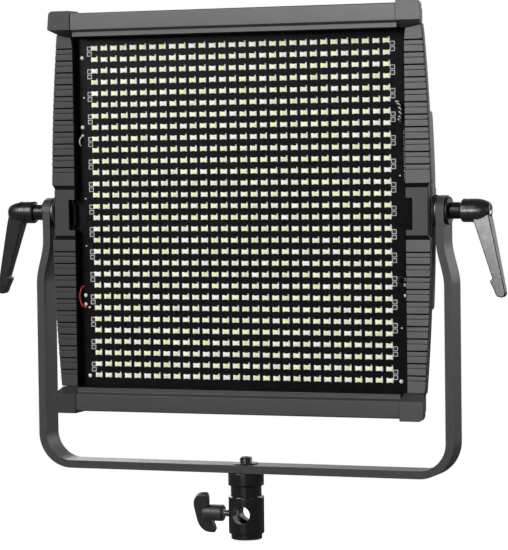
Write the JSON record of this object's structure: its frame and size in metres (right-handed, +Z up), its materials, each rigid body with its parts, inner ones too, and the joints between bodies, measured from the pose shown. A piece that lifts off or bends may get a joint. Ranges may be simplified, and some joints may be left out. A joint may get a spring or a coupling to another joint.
{
  "type": "led panel light",
  "caption": "Square LED panel light with exposed emitter board, hung in a flat-bar yoke by ratchet levers on a spigot receiver with a T-handle clamp.",
  "frame": {"origin": "centre of the spigot receiver's mouth, at the bottom of the light", "axes": "+X to the right seen from the lit side, +Y from the lit front to the back, +Z up along the spigot axis"},
  "size_m": [0.474, 0.056, 0.4649],
  "materials": {
    "grey_plastic": "satin",
    "rail_metal": "satin",
    "black_plastic": "satin",
    "black_metal": "semi-gloss",
    "yoke_paint": "powder coat",
    "board_black": "solder mask",
    "led_pale": "phosphor",
    "chrome": "bright",
    "steel": "zinc plated",
    "aluminium": "mill",
    "brass": "turned",
    "rubber": "matt",
    "red_wire": "pvc",
    "display_glass": "gloss",
    "green_board": "solder mask"
  },
  "bodies": {
    "receiver": {"receiver_body": "black_metal", "centre_stud": "black_metal"},
    "lock_ring": {"lock_ring": "black_metal"},
    "clamp_pad": {"clamp_pad": "steel"},
    "clamp_knob": {"clamp_screw": "chrome", "t_handle": "black_plastic"},
    "yoke": {"yoke_bracket": "yoke_paint", "thread_bush": "steel", "steel_washer_left": "steel", "clamp_washer_left": "black_plastic", "steel_washer_right": "steel", "clamp_washer_right": "black_plastic"},
    "stud_left": {"lever_stud_left": "black_metal", "lever_screw_left": "chrome", "lever_spring_left": "steel"},
    "handle_left": {"lever_handle_left": "black_plastic"},
    "stud_right": {"lever_stud_right": "black_metal", "lever_screw_right": "chrome", "lever_spring_right": "steel"},
    "handle_right": {"lever_handle_right": "black_plastic"},
    "dimmer": {"dimmer_knob": "black_plastic"},
    "colour": {"colour_knob": "black_plastic"},
    "mode": {"mode_button": "grey_plastic"},
    "menu": {"menu_button": "grey_plastic"},
    "rocker": {"power_rocker": "black_plastic"},
    "release": {"battery_release": "grey_plastic"},
    "panel": {"battery_plate": "black_plastic", "board_screw_bottom_left": "steel", "board_screw_bottom_right": "steel", "board_screw_mid_left": "steel", "board_screw_top_left": "steel", "bottom_rail": "rail_metal", "contact_block": "black_plastic", "control_plate": "black_plastic", "corner_cap_bottom_left": "grey_plastic", "corner_cap_bottom_right": "grey_plastic", "corner_cap_top_left": "grey_plastic", "corner_cap_top_right": "grey_plastic", "dc_inlet": "black_metal", "display_window": "display_glass", "driver_board": "green_board", "friction_disc_left": "rubber", "friction_disc_right": "rubber", "heat_spreader": "aluminium", "housing_screw_bottom_left": "black_metal", "housing_screw_bottom_right": "black_metal", "housing_screw_top_left": "black_metal", "housing_screw_top_right": "black_metal", "led_array": "led_pale", "led_board": "board_black", "pivot_bush_left": "brass", "pivot_bush_right": "brass", "rear_housing": "grey_plastic", "side_cover_left": "grey_plastic", "side_cover_right": "grey_plastic", "top_rail": "rail_metal", "wire_black": "black_plastic", "wire_red": "red_wire"}
  },
  "joints": [
    {"name": "yoke_pan", "type": "hinge", "parent": "receiver", "child": "yoke", "pos_m": [0, 0, 0.0645], "axis": [0, 0, 1], "continuous": true},
    {"name": "lock_ring_turn", "type": "hinge", "parent": "receiver", "child": "lock_ring", "pos_m": [0, 0, 0.0541], "axis": [0, 0, 1], "range_deg": [0, 90]},
    {"name": "clamp_feed", "type": "slide", "parent": "receiver", "child": "clamp_pad", "axis": [-1, 0, 0], "range_m": [0, 0.003]},
    {"name": "clamp_turn", "type": "hinge", "parent": "clamp_pad", "child": "clamp_knob", "pos_m": [-0.02, 0, 0.0216], "axis": [-1, 0, 0], "range_deg": [0, 1085]},
    {"name": "panel_tilt", "type": "hinge", "parent": "yoke", "child": "panel", "pos_m": [0, 0, 0.2871], "axis": [1, 0, 0], "continuous": true},
    {"name": "lever_turn_left", "type": "hinge", "parent": "yoke", "child": "stud_left", "pos_m": [-0.2, 0, 0.2871], "axis": [-1, 0, 0], "range_deg": [-90, 180]},
    {"name": "lever_lift_left", "type": "slide", "parent": "stud_left", "child": "handle_left", "axis": [-1, 0, 0], "range_m": [0, 0.004], "stiffness_N_per_m": 900, "springref_m": -0.0015, "deforming": ["lever_spring_left"]},
    {"name": "lever_turn_right", "type": "hinge", "parent": "yoke", "child": "stud_right", "pos_m": [0.2, 0, 0.2871], "axis": [1, 0, 0], "range_deg": [-90, 180]},
    {"name": "lever_lift_right", "type": "slide", "parent": "stud_right", "child": "handle_right", "axis": [1, 0, 0], "range_m": [0, 0.004], "stiffness_N_per_m": 900, "springref_m": -0.0015, "deforming": ["lever_spring_right"]},
    {"name": "dimmer_turn", "type": "hinge", "parent": "panel", "child": "dimmer", "pos_m": [-0.038, 0.025, 0.1671], "axis": [0, 1, 0], "range_deg": [-150, 150]},
    {"name": "colour_turn", "type": "hinge", "parent": "panel", "child": "colour", "pos_m": [0.038, 0.025, 0.1671], "axis": [0, 1, 0], "range_deg": [-150, 150]},
    {"name": "mode_press", "type": "slide", "parent": "panel", "child": "mode", "axis": [0, -1, 0], "range_m": [0, 0.001], "stiffness_N_per_m": 800, "springref_m": -0.0008},
    {"name": "menu_press", "type": "slide", "parent": "panel", "child": "menu", "axis": [0, -1, 0], "range_m": [0, 0.001], "stiffness_N_per_m": 800, "springref_m": -0.0008},
    {"name": "power_rock", "type": "hinge", "parent": "panel", "child": "rocker", "pos_m": [0.088, 0.0165, 0.1691], "axis": [1, 0, 0], "range_deg": [0, 14]},
    {"name": "release_slide", "type": "slide", "parent": "panel", "child": "release", "axis": [0, 0, 1], "range_m": [0, 0.005]}
  ],
  "couplings": [
    {"joint": "clamp_turn", "follows": "clamp_feed", "rad_per_m": 6283.2}
  ]
}
